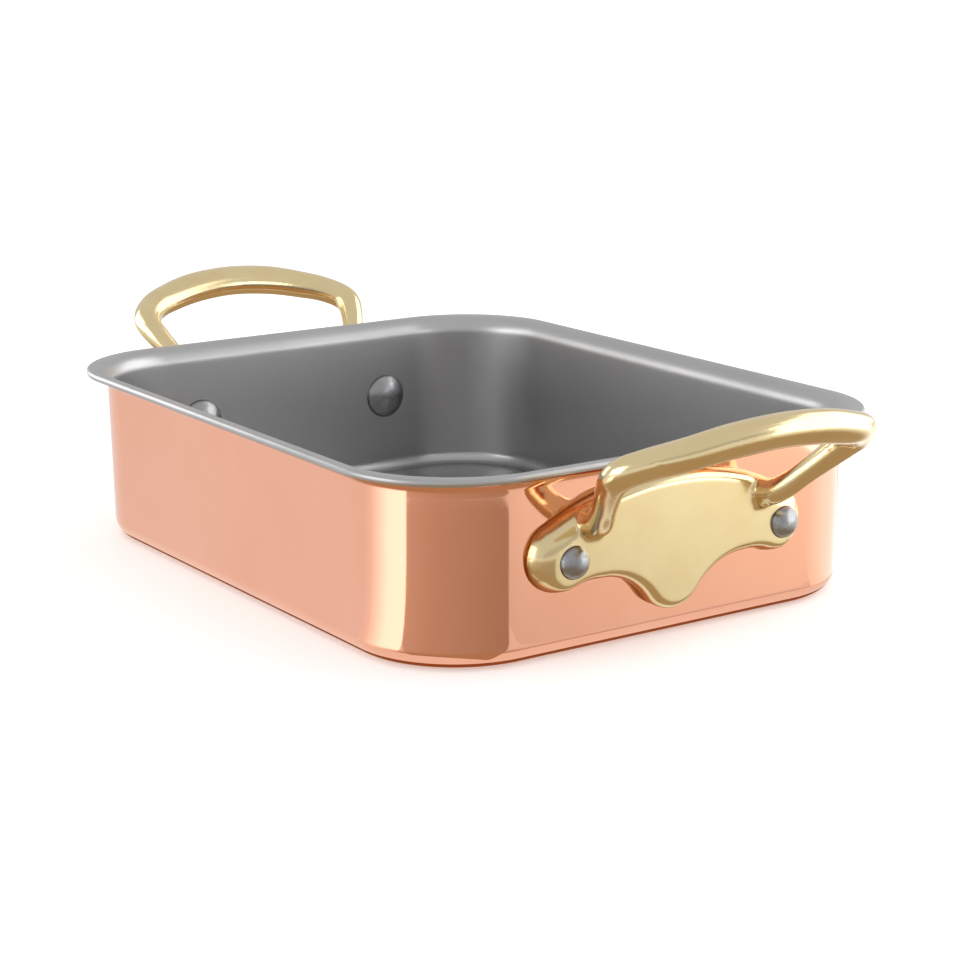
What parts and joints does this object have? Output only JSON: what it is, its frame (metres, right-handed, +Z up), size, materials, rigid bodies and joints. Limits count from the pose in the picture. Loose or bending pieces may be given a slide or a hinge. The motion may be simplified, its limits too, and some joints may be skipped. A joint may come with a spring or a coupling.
{
  "type": "copper serving pan",
  "caption": "Small rectangular copper serving pan with rounded corners, a flared lip, a steel lining and riveted brass bail handles at both ends.",
  "frame": {"origin": "middle of the flat underside, on the surface that the pan stands on", "axes": "+X along the pan from the rear handle to the front handle, +Y across it, +Z up"},
  "size_m": [0.199, 0.1106, 0.0459],
  "materials": {
    "copper": "mirror-polished copper",
    "lining": "satin stainless steel",
    "brass": "polished cast brass",
    "rivet_steel": "satin steel"
  },
  "bodies": {
    "root": {"copper_shell": "copper", "steel_lining": "lining", "front_handle": "brass", "rear_handle": "brass", "front_left_rivet": "rivet_steel", "front_right_rivet": "rivet_steel", "rear_left_rivet": "rivet_steel", "rear_right_rivet": "rivet_steel"}
  },
  "joints": []
}
